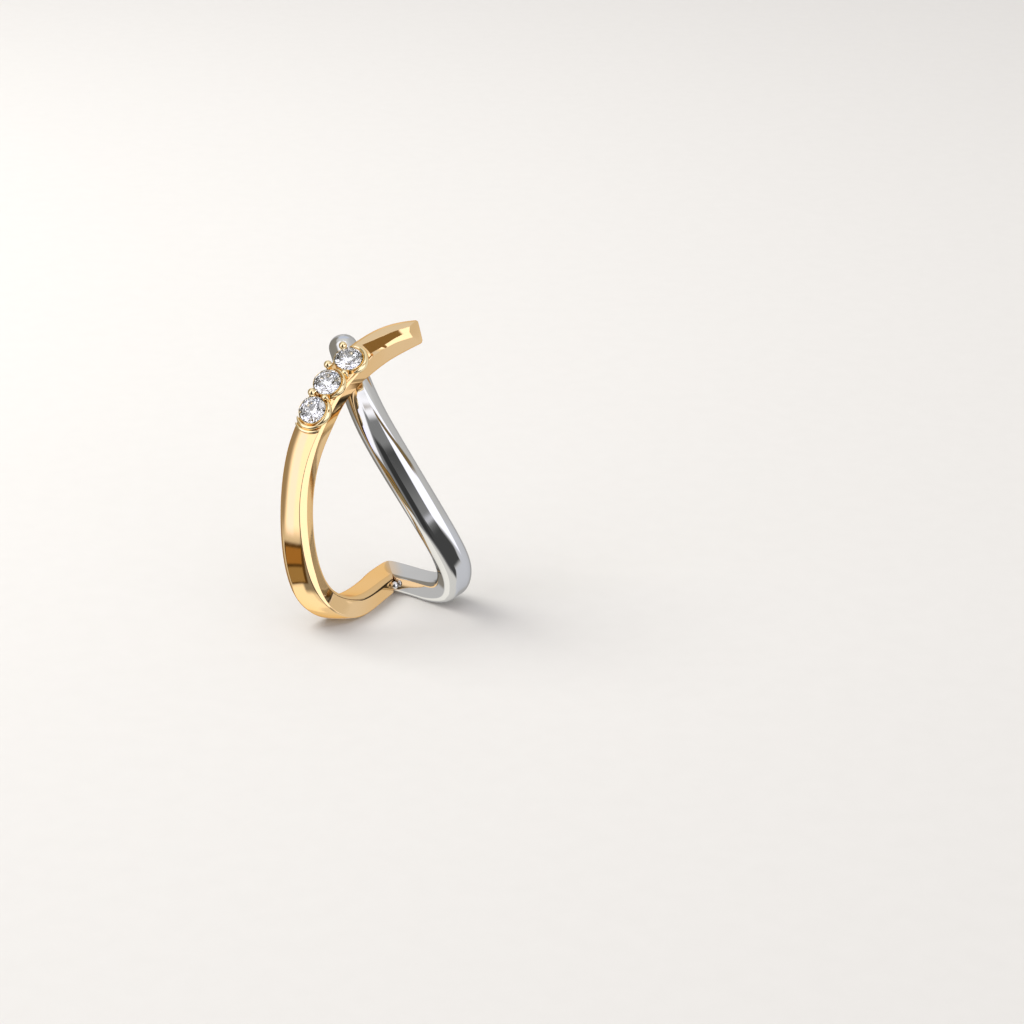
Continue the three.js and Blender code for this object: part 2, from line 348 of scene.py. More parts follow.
@dataclass(frozen=True)
class MattPaper:
    """The matt paper of the floor.

    Attributes:
        name: Name of the material.
        tint: Its colour, linear.
        fleck: Its colour in the lighter flecks.
        roughness: Its roughness.
        shine: Its specular level.
        grain: Scale and detail of the flecks.
    """

    name: str
    tint: Triple
    fleck: Triple
    roughness: float
    shine: float
    grain: Tuple[float, float] = (700.0, 6.0)

    def material(self) -> bpy.types.Material:
        """Build the node material.

        Returns:
            The material, ready to be assigned.
        """
        made, bench, shader = started(self.name)
        shader.inputs["Roughness"].default_value = self.roughness
        shader.inputs["Specular IOR Level"].default_value = self.shine
        tone = bench.mix(bench.noise(*self.grain), self.tint, self.fleck)
        bench.feed(shader.inputs["Base Color"], tone)
        return made


YELLOW_GOLD = PolishedMetal(
    name="yellow_gold_polished",
    colour=(0.91, 0.64, 0.34),
    flush=(0.88, 0.60, 0.30),
    edge=(0.92, 0.66, 0.38),
    roughness=(0.04, 0.08),
    wave=0.000004,
    creep=Creep(colour=(0.66, 0.66, 0.655), side=-1.0, reach=0.0004),
)
WHITE_GOLD = PolishedMetal(
    name="white_gold_polished",
    colour=(0.66, 0.66, 0.655),
    flush=(0.63, 0.63, 0.625),
    edge=(0.62, 0.62, 0.62),
    roughness=(0.04, 0.08),
    wave=0.000003,
    creep=Creep(colour=(0.90, 0.62, 0.33), side=1.0, reach=0.0008),
)
SETTING_GOLD = PolishedMetal(
    name="setting_gold",
    colour=(0.95, 0.78, 0.47),
    flush=(0.93, 0.74, 0.42),
    edge=(0.96, 0.84, 0.60),
    roughness=(0.05, 0.10),
    wave=0.000003,
)
SOLDER = PolishedMetal(
    name="white_solder",
    colour=(0.90, 0.89, 0.87),
    flush=(0.84, 0.82, 0.79),
    edge=(0.92, 0.92, 0.92),
    roughness=(0.22, 0.38),
    wave=0.000006,
)
RHODIUM = PolishedMetal(
    name="rhodium_plating",
    colour=(0.93, 0.93, 0.93),
    flush=(0.90, 0.90, 0.91),
    edge=(0.95, 0.95, 0.95),
    roughness=(0.10, 0.18),
    wave=0.000003,
)
CLEAR_STONE = CutStone(
    name="clear_brilliant",
    tint=(1.0, 1.0, 1.0),
    veil=(0.95, 0.96, 0.97),
    ior=2.2,
    roughness=0.0,
)
PALE_PAPER = MattPaper(
    name="pale_paper",
    tint=(0.651, 0.634, 0.597),
    fleck=(0.676, 0.659, 0.622),
    roughness=0.9,
    shine=0.1,
)


# ---- Shells of mesh ----------------------------------------------------------------------------


def loft(rings: Sequence[Ring]) -> Shell:
    """Skin a closed tube through rings of equal length, with a flat cap at both ends.

    Args:
        rings: Rings of points, in order.

    Returns:
        Points and faces of the shell.
    """
    count = len(rings[0])
    points = [point for ring in rings for point in ring]
    faces: List[Tuple[int, ...]] = []
    for row in range(len(rings) - 1):
        for k in range(count):
            a, b = row * count + k, row * count + (k + 1) % count
            faces.append((a, b, b + count, a + count))
    last = (len(rings) - 1) * count
    faces.append(tuple(reversed(range(count))))
    faces.append(tuple(range(last, last + count)))
    return points, faces


def lathe(profile: Profile, sides: int) -> Shell:
    """Turn a profile round the Z axis.

    Args:
        profile: Radius and height of each step. It starts and ends near the axis.
        sides: Number of sides.

    Returns:
        Points and faces of the shell.
    """
    rings = []
    for radius, height in profile:
        wide = max(radius, 1e-4)
        angles = [2 * math.pi * k / sides for k in range(sides)]
        rings.append([Vector((wide * math.cos(a), wide * math.sin(a), height)) for a in angles])
    return loft(rings)


def turned_ring(profile: Profile, sides: int) -> Shell:
    """Turn a closed profile round the Z axis into a ring with a hole.

    Args:
        profile: Radius and height of each corner, all the way round the section.
        sides: Number of sides.

    Returns:
        Points and faces of the shell.
    """
    count = len(profile)
    points: List[Vector] = []
    faces: List[Tuple[int, ...]] = []
    for k in range(sides):
        angle = 2 * math.pi * k / sides
        for radius, height in profile:
            points.append(Vector((radius * math.cos(angle), radius * math.sin(angle), height)))
        after = (k + 1) % sides
        for i in range(count):
            j = (i + 1) % count
            faces.append((k * count + i, after * count + i, after * count + j, k * count + j))
    return points, faces


def rounded_top(radius: float, height: float, rise: float, first: int) -> List[Tuple[float, float]]:
    """Lay out the profile of a round top that ends on the axis.

    Args:
        radius: Its radius.
        height: Height of its widest place.
        rise: How far it rises above that.
        first: Where it starts, in steps of 11 degrees from its widest place.

    Returns:
        Radius and height of each step.
    """
    angles = [math.radians(11 * k) for k in range(first, 9)]
    round_part = [(radius * math.cos(a), height + rise * math.sin(a)) for a in angles]
    return [*round_part, (0.0, height + rise)]


def moved(shell: Shell, pose: Matrix) -> Shell:
    """Return the shell moved by a matrix."""
    return [pose @ point for point in shell[0]], shell[1]


def piece(name: str, shells: Iterable[Shell], edge: Edge, finish: bpy.types.Material) -> bpy.types.Object:
    """Make one object from closed shells given in millimetres, and let it ride on the earring."""
    return finished(name, body_of(shells), edge, finish)


def body_of(shells: Iterable[Shell]) -> bmesh.types.BMesh:
    """Join closed shells given in millimetres into one mesh in metres.

    Args:
        shells: The shells.

    Returns:
        The mesh.
    """
    mesh = bmesh.new()
    for points, faces in shells:
        made = [mesh.verts.new((point + SETTING_OUT) * MM) for point in points]
        for face in faces:
            corners = [made[i] for i in face]
            mesh.faces.new(corners)
    bmesh.ops.remove_doubles(mesh, verts=mesh.verts, dist=1e-8)
    bmesh.ops.recalc_face_normals(mesh, faces=mesh.faces)
    return mesh


def hollowed(mesh: bmesh.types.BMesh, shells: Iterable[Shell]) -> bmesh.types.BMesh:
    """Cut closed shells given in millimetres out of a mesh.

    Args:
        mesh: The mesh in metres. It is freed.
        shells: What is cut out.

    Returns:
        The mesh that is left.
    """
    bodies = []
    for name, part in (("body", mesh), ("cutter", body_of(shells))):
        data = bpy.data.meshes.new(name)
        part.to_mesh(data)
        part.free()
        bodies.append(bpy.data.objects.new(name, data))
        bpy.context.scene.collection.objects.link(bodies[-1])
    cut = bodies[0].modifiers.new("seats", "BOOLEAN")
    cut.operation = "DIFFERENCE"
    cut.solver = "EXACT"
    cut.object = bodies[1]
    result = bodies[0].evaluated_get(bpy.context.evaluated_depsgraph_get())
    left = bmesh.new()
    left.from_mesh(result.to_mesh())
    for one in bodies:
        data = one.data
        bpy.data.objects.remove(one)
        bpy.data.meshes.remove(data)
    return left


@dataclass(frozen=True)
class Flat:
    """A flat filed on the metal.

    Attributes:
        point: A point of its plane.
        normal: The plane's outward normal.
        edge: Width of its broken edge.
    """

    point: Triple
    normal: Triple
    edge: float = 0.03

    def file(self, mesh: bmesh.types.BMesh) -> None:
        """Take away what stands beyond the plane, and break the new edge.

        Args:
            mesh: The mesh in metres, which is changed.
        """
        point = (Vector(self.point) + SETTING_OUT) * MM
        everything = [*mesh.verts, *mesh.edges, *mesh.faces]
        cut = bmesh.ops.bisect_plane(mesh, geom=everything, dist=1e-8, plane_co=point,
                                     plane_no=Vector(self.normal).normalized(), clear_outer=True)
        rim = [part for part in cut["geom_cut"] if isinstance(part, bmesh.types.BMEdge)]
        bmesh.ops.contextual_create(mesh, geom=rim)
        bmesh.ops.bevel(mesh, geom=rim, offset=self.edge * MM, segments=3, profile=0.5, affect="EDGES",
                        clamp_overlap=True)


def finished(name: str, mesh: bmesh.types.BMesh, edge: Edge, finish: bpy.types.Material) -> bpy.types.Object:
    """Shade a mesh, dress it and let it ride on the earring.

    Args:
        name: Name of the object.
        mesh: The mesh in metres. It is freed.
        edge: How its edges are shaded.
        finish: Its material.

    Returns:
        The object.
    """
    for face in mesh.faces:
        face.smooth = edge is not Edge.FACETED
    for one in mesh.edges:
        if one.is_manifold and one.calc_face_angle(0.0) > edge.value:
            one.smooth = False
    data = bpy.data.meshes.new(name)
    mesh.to_mesh(data)
    mesh.free()
    made = bpy.data.objects.new(name, data)
    bpy.context.scene.collection.objects.link(made)
    data.materials.append(finish)
    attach(made, "root")
    LOG.info("%s: %d faces", name, len(data.polygons))
    return made


# ---- Bars --------------------------------------------------------------------------------------


@dataclass(frozen=True)
class Station:
    """A place on a bar where its section is given, in millimetres and degrees.

    Attributes:
        x, y, z: Middle of the section.
        bearing: Where the outer face looks, from the front towards the left.
        tilt: How far the outer face looks upwards.
        width: Size across the outer face.
        thick: Size from the outer face to the inner one.
        near: Radius of the outer face's corner beside the open window.
        far: Radius of its other corner.
        inner: Radius of the corners beside the inner face.
    """

    x: float
    y: float
    z: float
    bearing: float
    tilt: float
    width: float
    thick: float
    near: float
    far: float
    inner: float

    @property
    def centre(self) -> Vector:
        """The middle of the section."""
        return Vector((self.x, self.y, self.z))

    @property
    def outward(self) -> Vector:
        """The direction in which the outer face looks."""
        bearing, tilt = math.radians(self.bearing), math.radians(self.tilt)
        return Vector((
            -math.sin(bearing) * math.cos(tilt),
            -math.cos(bearing) * math.cos(tilt),
            math.sin(tilt),
        ))


@dataclass
class Section:
    """A section of a bar.

    Attributes:
        centre: Its middle.
        side: From there to the middle of a side wall.
        out: From there to the middle of the outer face.
        radii: Radii of the near, far and inner corners.
        place: Its place along the bar, counted in stations.
    """

    centre: Vector
    side: Vector
    out: Vector
    radii: Vector
    place: float = 0.0

    def blended(self, other: "Section", share: float) -> "Section":
        """Blend two sections.

        Args:
            other: The other section.
            share: Share of the other section.

        Returns:
            The section a share of the way to the other one.
        """
        return Section(
            self.centre.lerp(other.centre, share),
            self.side.lerp(other.side, share),
            self.out.lerp(other.out, share),
            self.radii.lerp(other.radii, share),
            self.place + (other.place - self.place) * share,
        )


@dataclass(frozen=True)
class Joint:
    """The upright section in which both bars end where they are soldered.

    Attributes:
        x, y, z: Its middle.
        swing: Angle of its plane from straight back towards the left, in degrees.
        width: Its length on the ground.
        thick: Its height.
        outer: Radius of its lower corners.
        inner: Radius of its upper corners.
        round: How far the V's outer corner is rounded off.
        slope: How steeply the legs run away from the joint.
        fade: How far in from the outer corner the rounding reaches.
    """

    x: float = 0.5
    y: float = 2.7
    z: float = 0.52
    swing: float = 9.0
    width: float = 2.7
    thick: float = 1.04
    outer: float = 0.25
    inner: float = 0.2
    round: float = 0.42
    slope: float = 1.45
    fade: float = 0.9

    @property
    def centre(self) -> Vector:
        """The middle of the joint."""
        return Vector((self.x, self.y, self.z))

    @property
    def along(self) -> Vector:
        """The unit normal of the joint's plane, to the right."""
        swing = math.radians(self.swing)
        return Vector((math.cos(swing), math.sin(swing), 0.0))

    def section(self, arriving: Vector) -> Section:
        """Give the section in which a bar ends.

        Args:
            arriving: Direction in which the bar arrives.

        Returns:
            The section.
        """
        along = self.along * math.copysign(1.0, self.along.dot(arriving))
        radii = Vector((self.outer, self.outer, self.inner))
        return oriented(self.centre, along, -UP, self.width, self.thick, radii)

    def fitted(self, point: Vector, arriving: Vector) -> Vector:
        """Keep a point of a bar on its own side of the joint, and round the V's outer corner.

        Args:
            point: The point.
            arriving: Direction in which the bar arrives.

        Returns:
            Where the point goes.
        """
        sign = math.copysign(1.0, self.along.dot(arriving))
        across = Vector((-self.along.y, self.along.x, 0.0))
        offset = point - self.centre
        past = min(offset.dot(self.along) * sign, 0.0)
        side = offset.dot(across)
        fall = self.slope * abs(past)
        inside = max(self.width / 2 - fall - side, 0.0)
        pull = (math.hypot(fall, self.round) - fall) * math.exp(-inside / self.fade)
        level = self.along * (past * sign) + across * (side - pull)
        return self.centre + level + UP * offset.z


def oriented(centre: Vector, along: Vector, out: Vector, width: float, thick: float,
             radii: Vector) -> Section:
    """Set up a section square to the bar's line, with its outer face roughly in the direction out."""
    square = (out - along * out.dot(along)).normalized()
    return Section(centre, square.cross(along) * (width / 2), square * (thick / 2), radii)


def spline(a: Vector, b: Vector, c: Vector, d: Vector, t: float) -> Vector:
    """Follow the smooth curve through four points.

    Args:
        a, b, c, d: The points.
        t: Share of the way from b to c.

    Returns:
        The curve's point between b and c.
    """
    leaving, arriving = (c - a) / 2, (d - b) / 2
    square = (c - b) * 3 - leaving * 2 - arriving
    cube = (b - c) * 2 + leaving + arriving
    return b + (leaving + (square + cube * t) * t) * t


@dataclass(frozen=True)
class Corner:
    """A corner of a section: its place across and through the bar, and its radius."""

    across: float
    through: float
    radius: float

    def rounded(self, before: "Corner", after: "Corner", count: int) -> List[Tuple[float, float]]:
        """Round the corner with an arc.

        Args:
            before: The corner before it.
            after: The corner after it.
            count: Points on the arc.

        Returns:
            The arc's points, across and through.
        """
        here = Vector((self.across, self.through))
        back = Vector((before.across, before.through)) - here
        ahead = Vector((after.across, after.through)) - here
        turn = math.pi - back.angle(ahead)
        room = CORNER_SHARE * min(back.length, ahead.length)
        reach = min(self.radius * math.tan(turn / 2), room)
        start, end = here + back.normalized() * reach, here + ahead.normalized() * reach
        pull = math.cos(turn / 2)
        arc = []
        for k in range(count):
            t = k / (count - 1)
            weights = ((1 - t) ** 2, 2 * t * (1 - t) * pull, t * t)
            point = (start * weights[0] + here * weights[1] + end * weights[2]) / sum(weights)
            arc.append((point.x, point.y))
        return arc


@dataclass
class Bar:
    """A bar lofted through its stations and ending in the joint.

    Attributes:
        stations: The given sections, from the free end to the joint.
        joint: The joint at its other end.
        steps: Sections made for each station.
        ease: Rounds of evening-out between neighbouring sections.
        crown: Height of the slight bulge of the outer face.
        belly: Height of the slight bulge of the side walls.
        corner_points: Points on each rounded corner.
        joint_reach: Stretch that the joint shapes, counted in stations.
    """

    stations: Sequence[Station]
    joint: Joint = field(default_factory=Joint)
    joint_reach: float = 2.5
    steps: int = 16
    ease: int = 56
    crown: float = 0.0
    belly: float = 0.0
    corner_points: int = 7

    def given(self) -> List[Section]:
        """Set up the sections that the stations and the joint give.

        Returns:
            One section for each station and one for the joint.
        """
        centres = [station.centre for station in self.stations] + [self.joint.centre]
        made = []
        for i, one in enumerate(self.stations):
            along = (centres[i + 1] - centres[max(i - 1, 0)]).normalized()
            radii = Vector((one.near, one.far, one.inner))
            made.append(oriented(centres[i], along, one.outward, one.width, one.thick, radii))
        made.append(self.joint.section(self.joint.centre - centres[-2]))
        return made

    def at(self, place: float) -> Section:
        """Find the section at a place.

        Args:
            place: The place, counted in stations.

        Returns:
            The section there.
        """
        given = self.given()
        first = min(int(place), len(given) - 2)
        t = place - first
        four = [given[min(max(first + k, 0), len(given) - 1)] for k in (-1, 0, 1, 2)]
        return Section(
            spline(*(one.centre for one in four), t),
            spline(*(one.side for one in four), t),
            spline(*(one.out for one in four), t),
            four[1].radii.lerp(four[2].radii, t),
            place,
        )

    def sections(self) -> List[Section]:
        """Set up the fine sections and even them out.

        Returns:
            The sections, from the free end to the joint.
        """
        count = len(self.stations) * self.steps
        fine = [self.at(k / self.steps) for k in range(count + 1)]
        for _ in range(self.ease):
            middle = [
                one.blended(before.blended(after, 0.5), 0.5)
                for before, one, after in zip(fine, fine[1:], fine[2:])
            ]
            fine = [fine[0], *middle, fine[-1]]
        return fine

    def corners(self, section: Section) -> List[Corner]:
        """List the corners of a section, round from the near outer one.

        Args:
            section: The section.

        Returns:
            The corners.
        """
        wide, deep = section.side.length, section.out.length
        near, far, inner = section.radii
        return [
            Corner(wide, deep, near),
            Corner(-wide, deep, far),
            Corner(-wide, -deep, inner),
            Corner(wide, -deep, inner),
        ]

    def ring(self, section: Section) -> Ring:
        """Lay out the rounded outline of a section.

        Args:
            section: The section.

        Returns:
            Points all the way round it.
        """
        corners = self.corners(section)
        arcs = [
            corner.rounded(corners[k - 1], corners[(k + 1) % len(corners)], self.corner_points)
            for k, corner in enumerate(corners)
        ]
        outline: List[Tuple[float, float]] = []
        for k, arc in enumerate(arcs):
            (u, v), (end_u, end_v) = arc[-1], arcs[(k + 1) % len(arcs)][0]
            outline.extend(arc)
            outline.extend((u + (end_u - u) * share, v + (end_v - v) * share) for share in WALL_SHARES)
        wide, deep = section.side.length, section.out.length
        ring = [self.placed_on(section, u / wide, v / deep) for u, v in outline]
        if section.place > len(self.stations) - self.joint_reach:
            arriving = self.joint.centre - self.stations[-1].centre
            ring = [self.joint.fitted(point, arriving) for point in ring]
        return ring

    def placed_on(self, section: Section, u: float, v: float) -> Vector:
        """Find a point of a section, with the bulge of its faces.

        Args:
            section: The section.
            u: Place across, from -1 to 1.
            v: Place through, from -1 at the inner face to 1 at the outer one.

        Returns:
            The point.
        """
        bulge = self.crown * (1 - u * u) * max(v, 0.0) / section.out.length
        swell = self.belly * (1 - v * v) / section.side.length
        return section.centre + section.side * (u * (1 + swell)) + section.out * (v + bulge)


@dataclass(frozen=True)
class Filing:
    """The flats along the near outer corner at one place of the bar, in millimetres from that corner.

    Attributes:
        place: The place, counted in stations.
        leaf: How far the leaf-shaped flat reaches across the outer face.
        ridge_in: How far its lower ridge lies in from the side wall.
        ridge_down: How far the ridge lies below the outer face.
        foot: How far the wedge below the ridge reaches down the side wall.
        edge: Radius of the edges.
    """

    place: float
    leaf: float
    ridge_in: float
    ridge_down: float
    foot: float
    edge: float

    def blended(self, other: "Filing", share: float) -> "Filing":
        """Return the flats a share of the way to the next given ones."""
        here, there = astuple(self), astuple(other)
        return Filing(*(a + (b - a) * share for a, b in zip(here, there)))


@dataclass
class FiledBar(Bar):
    """A bar whose near outer corner is filed into flats along its free arm.

    Attributes:
        filings: The flats at the places where they are given, in order.
    """

    filings: Sequence[Filing] = ()

    def filing_at(self, place: float) -> Filing:
        """Find the flats at a place.

        Args:
            place: The place, counted in stations.

        Returns:
            The flats there.
        """
        for one, after in zip(self.filings, self.filings[1:]):
            if place <= after.place:
                share = (place - one.place) / (after.place - one.place)
                return one.blended(after, min(max(share, 0.0), 1.0))
        return self.filings[-1]

    def corners(self, section: Section) -> List[Corner]:
        """List the corners of a section, round from the foot of the wedge.

        Args:
            section: The section.

        Returns:
            The corners.
        """
        wide, deep = section.side.length, section.out.length
        filing = self.filing_at(section.place)
        return [
            Corner(wide, deep - filing.foot, filing.edge),
            Corner(wide - filing.ridge_in, deep - filing.ridge_down, filing.edge),
            Corner(wide - filing.leaf, deep, filing.edge),
            *super().corners(section)[1:],
        ]


def beyond(sections: Sequence[Section], reach: float, scale: float) -> Section:
    """Move a bar's first section out past the free end and make it smaller.

    Args:
        sections: Sections of the bar.
        reach: How far out it is moved.
        scale: Its share of the first section's size.

    Returns:
        The section.
    """
    end = sections[0]
    along = end.side.cross(end.out).normalized()
    along *= math.copysign(1.0, along.dot(end.centre - sections[1].centre))
    centre = end.centre + along * reach
    return Section(centre, end.side * scale, end.out * scale, end.radii * scale)


def stations(rows: Sequence[Sequence[float]]) -> Tuple[Station, ...]:
    """Turn rows of numbers into stations."""
    return tuple(Station(*row) for row in rows)


# place, leaf, ridge_in, ridge_down, foot, edge
FILINGS = (
    Filing(0.0, 0.30, 0.13, 0.15, 0.50, 0.02),
    Filing(1.0, 0.33, 0.12, 0.17, 0.47, 0.02),
    Filing(2.0, 0.48, 0.11, 0.21, 0.36, 0.02),
    Filing(2.5, 0.68, 0.18, 0.24, 0.28, 0.02),
    Filing(3.0, 0.98, 0.34, 0.25, 0.12, 0.02),
    Filing(3.1, 0.12, 0.035, 0.035, 0.12, 0.08),
    Filing(6.3, 0.12, 0.06, 0.06, 0.12, 0.04),
    Filing(7.2, 0.13, 0.065, 0.14, 0.28, 0.05),
    Filing(9.0, 0.17, 0.085, 0.21, 0.42, 0.06),
    Filing(11.2, 0.15, 0.075, 0.18, 0.36, 0.06),
    Filing(12.5, 0.06, 0.03, 0.04, 0.08, 0.05),
    Filing(13.5, 0.06, 0.03, 0.03, 0.06, 0.05),
)

# x, y, z, bearing, tilt, width, thick, near, far, inner
YELLOW_STATIONS = stations([
    (2.28, 3.16, 15.66, -8, 70, 1.00, 1.30, 0.12, 0.30, 0.30),
    (1.38, 2.78, 15.50, -8, 70, 1.25, 1.58, 0.12, 0.38, 0.35),
    (0.30, 2.08, 15.24, -6, 70, 1.48, 1.68, 0.12, 0.38, 0.35),
    (-0.70, 1.18, 14.82, 0, 66, 1.70, 1.55, 0.12, 0.38, 0.30),
    (-1.45, 0.40, 14.40, 9, 56, 1.88, 1.32, 0.12, 0.38, 0.25),
    (-2.55, -0.85, 13.45, 19, 45, 1.88, 1.15, 0.12, 0.38, 0.25),
    (-3.32, -1.85, 12.10, 25, 37, 1.90, 1.15, 0.12, 0.38, 0.25),
    (-3.96, -2.60, 10.72, 31, 25, 1.88, 1.15, 0.12, 0.38, 0.25),
    (-4.34, -3.20, 9.12, 34, 15, 1.80, 1.15, 0.12, 0.38, 0.25),
    (-4.50, -3.67, 7.45, 34, 8, 1.76, 1.15, 0.12, 0.38, 0.25),
    (-4.48, -3.96, 5.65, 30, 3, 1.80, 1.15, 0.12, 0.38, 0.25),
    (-4.26, -3.98, 3.80, 25, -4, 1.88, 1.18, 0.12, 0.38, 0.25),
    (-3.75, -3.70, 2.10, 20, -18, 1.92, 1.25, 0.12, 0.38, 0.25),
    (-2.80, -3.12, 1.02, 18, -44, 1.85, 1.28, 0.12, 0.38, 0.30),
    (-1.75, -2.20, 0.64, 20, -72, 1.75, 1.25, 0.12, 0.38, 0.34),
    (-0.98, -0.90, 0.60, 22, -88, 1.65, 1.20, 0.12, 0.38, 0.34),
    (-0.42, 0.42, 0.58, 23, -90, 1.65, 1.18, 0.12, 0.38, 0.32),
    (0.02, 1.55, 0.56, 24, -90, 1.80, 1.12, 0.12, 0.38, 0.28),
])

WHITE_STATIONS = stations([
    (-1.98, 2.60, 14.92, -10, 60, 1.60, 1.56, 0.74, 0.74, 0.74),
    (-1.48, 1.42, 13.95, -10, 48, 1.65, 1.50, 0.72, 0.72, 0.72),
    (-0.98, 0.22, 12.98, -10, 36, 1.80, 1.50, 0.72, 0.72, 0.70),
    (-0.32, -0.88, 11.85, -10, 26, 1.90, 1.52, 0.72, 0.72, 0.68),
    (0.47, -1.67, 10.62, -10, 18, 1.95, 1.56, 0.72, 0.72, 0.65),
    (1.35, -2.10, 9.18, -10, 10, 1.95, 1.62, 0.72, 0.72, 0.62),
    (2.22, -2.28, 7.70, -11, 3, 1.92, 1.68, 0.72, 0.72, 0.62),
    (3.10, -2.18, 6.05, -15, -4, 1.92, 1.74, 0.72, 0.72, 0.62),
    (4.05, -1.68, 4.00, -26, -12, 1.90, 1.70, 0.70, 0.70, 0.60),
    (4.53, -1.18, 2.45, -45, -25, 1.90, 1.60, 0.65, 0.65, 0.50),
    (4.30, -0.50, 1.10, -60, -52, 1.95, 1.55, 0.62, 0.55, 0.35),
    (3.35, 0.30, 0.66, -60, -78, 1.85, 1.35, 0.60, 0.40, 0.22),
    (2.40, 1.05, 0.60, -60, -90, 1.72, 1.20, 0.58, 0.30, 0.16),
    (1.50, 1.80, 0.56, -60, -90, 1.82, 1.12, 0.55, 0.25, 0.16),
])


def grounded(shell: Shell) -> Shell:
    """Flatten what reaches below the ground, as the polished resting faces are."""
    points = [Vector((point.x, point.y, max(point.z, 0.0))) for point in shell[0]]
    return points, shell[1]


@dataclass
class YellowBand:
    """The flat-faced yellow bar, from its free tip to the joint.

    Attributes:
        bar: The bar.
        tip_bevel: Length of the bevel round the free tip.
        tip_taper: How much narrower the tip's end is, as a share.
        tip_turns: Steps of the bevel, in degrees.
        tip_flat: The flat filed across the tip's front corner.
    """

    bar: Bar = field(default_factory=lambda: FiledBar(YELLOW_STATIONS, crown=0.13, filings=FILINGS))
    tip_bevel: float = 0.2
    tip_taper: float = 0.26
    tip_turns: Sequence[float] = (90, 72, 54, 36, 18)
    tip_flat: Flat = Flat((1.87, 2.27, 15.97), (0.8, -0.56, 0.24))

    def build(self, finish: bpy.types.Material) -> bpy.types.Object:
        """Make the bar.

        Args:
            finish: Its material.

        Returns:
            The object.
        """
        sections = self.bar.sections()
        tips = []
        for turn in map(math.radians, self.tip_turns):
            scale = 1 - self.tip_taper * (1 - math.cos(turn))
            tips.append(beyond(sections, self.tip_bevel * math.sin(turn), scale))
        body = body_of([grounded(loft([self.bar.ring(one) for one in [*tips, *sections]]))])
        self.tip_flat.file(body)
        body = hollowed(body, StoneRow(self.bar).seats())
        made = finished("yellow_bar", body, Edge.ROUND, finish)
        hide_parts("yellow_band")
        return made


@dataclass
class WhiteBand:
    """The round white bar, from its domed end behind the crossing to the joint.

    Attributes:
        bar: The bar.
        dome: Radius of its domed end.
        dome_turns: Steps of the dome, in degrees.
    """

    bar: Bar = field(default_factory=lambda: Bar(WHITE_STATIONS, belly=0.05))
    dome: float = 0.8
    dome_turns: Sequence[float] = (86, 78, 70, 62, 54, 46, 38, 30, 22, 14, 7)

    def build(self, finish: bpy.types.Material) -> bpy.types.Object:
        """Make the bar.

        Args:
            finish: Its material.

        Returns:
            The object.
        """
        sections = self.bar.sections()
        turns = [math.radians(turn) for turn in self.dome_turns]
        domes = [beyond(sections, self.dome * math.sin(turn), math.cos(turn)) for turn in turns]
        shell = loft([self.bar.ring(one) for one in [*domes, *sections]])
        made = piece("white_bar", [grounded(shell)], Edge.ROUND, finish)
        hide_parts("white_band")
        return made


@dataclass(frozen=True)
class SolderBead:
    """The bright bead of solder in the V's inner corner.

    Attributes:
        at: Its foot.
        lean: How far it leans to the right, in radians.
        profile: Radius and height of each step.
        squash: Its stretch along the three axes.
    """

    at: Triple = (0.8, 0.83, 0.42)
    lean: float = 0.3
    profile: Profile = (
        (0.0, 0.0), (0.16, 0.02), (0.24, 0.1), (0.27, 0.24),
        (0.24, 0.4), (0.19, 0.5), (0.1, 0.57), (0.0, 0.59),
    )
    squash: Triple = (0.85, 0.7, 0.7)

    def build(self, finish: bpy.types.Material) -> bpy.types.Object:
        """Make the bead.

        Args:
            finish: Its material.

        Returns:
            The object.
        """
        pose = Matrix.Translation(self.at) @ Matrix.Rotation(self.lean, 4, "Y")
        pose @= Matrix.Diagonal((*self.squash, 1.0))
        bead = moved(lathe(self.profile, BEAD_SIDES), pose)
        return piece("solder_bead", [bead], Edge.ROUND, finish)


# ---- Stones and their setting ------------------------------------------------------------------


